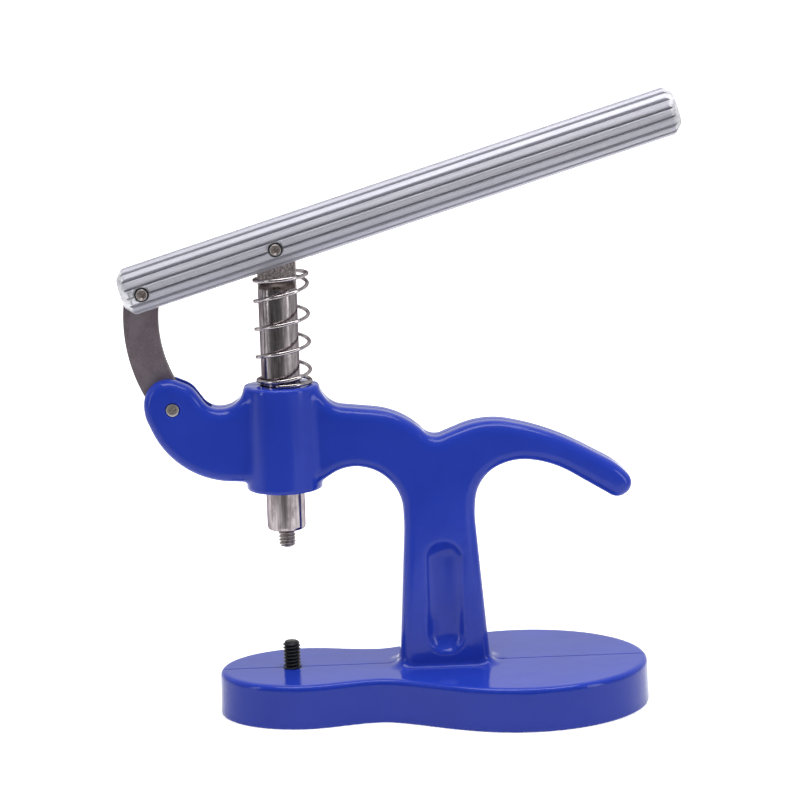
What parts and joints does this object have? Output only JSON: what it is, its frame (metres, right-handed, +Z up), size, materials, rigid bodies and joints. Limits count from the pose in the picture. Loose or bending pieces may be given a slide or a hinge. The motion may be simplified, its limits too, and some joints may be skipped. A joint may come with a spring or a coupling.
{
  "type": "watch case press",
  "caption": "Bench lever press with a sprung plunger and a threaded stud above and below its work gap, for closing watch cases.",
  "frame": {"origin": "on the bench face of the base, under the plunger's axis", "axes": "+Z up along the plunger's axis, +X from the plunger towards the column and the handle's free end, +Y across the base"},
  "size_m": [0.2035, 0.0796, 0.2235],
  "materials": {
    "blue_paint": "gloss enamel over a casting",
    "black_oxide": "black oxide, oiled",
    "plated_steel": "turned and polished, tongue left milled",
    "spring_wire": "bright drawn wire",
    "bare_aluminium": "satin extrusion with long flutes",
    "tumbled_steel": "dull blanked plate",
    "pin_steel": "cut and lightly rusted ends"
  },
  "bodies": {
    "frame": {"frame_casting": "blue_paint", "lower_die_screw": "black_oxide", "link_frame_pin": "pin_steel", "return_spring": "spring_wire"},
    "plunger": {"plunger": "plated_steel", "handle_plunger_pin": "pin_steel"},
    "handle": {"handle": "bare_aluminium", "handle_link_pin": "pin_steel"},
    "link": {"link": "tumbled_steel"}
  },
  "joints": [
    {"name": "plunger_slide", "type": "slide", "parent": "frame", "child": "plunger", "axis": [0, 0, -1], "range_m": [0, 0.024], "stiffness_N_per_m": 925, "springref_m": -0.008, "deforming": ["return_spring"]},
    {"name": "handle_pivot", "type": "hinge", "parent": "plunger", "child": "handle", "pos_m": [0, 0, 0.1712], "axis": [0, 1, 0], "range_deg": [0, 28]},
    {"name": "link_pivot", "type": "hinge", "parent": "frame", "child": "link", "pos_m": [-0.039, 0, 0.1148], "axis": [0, -1, 0], "range_deg": [0, 3.5]}
  ],
  "couplings": [
    {"joint": "handle_pivot", "follows": "plunger_slide", "rad_per_m": 19.67},
    {"joint": "link_pivot", "follows": "plunger_slide", "rad_per_m": 2.1991}
  ]
}
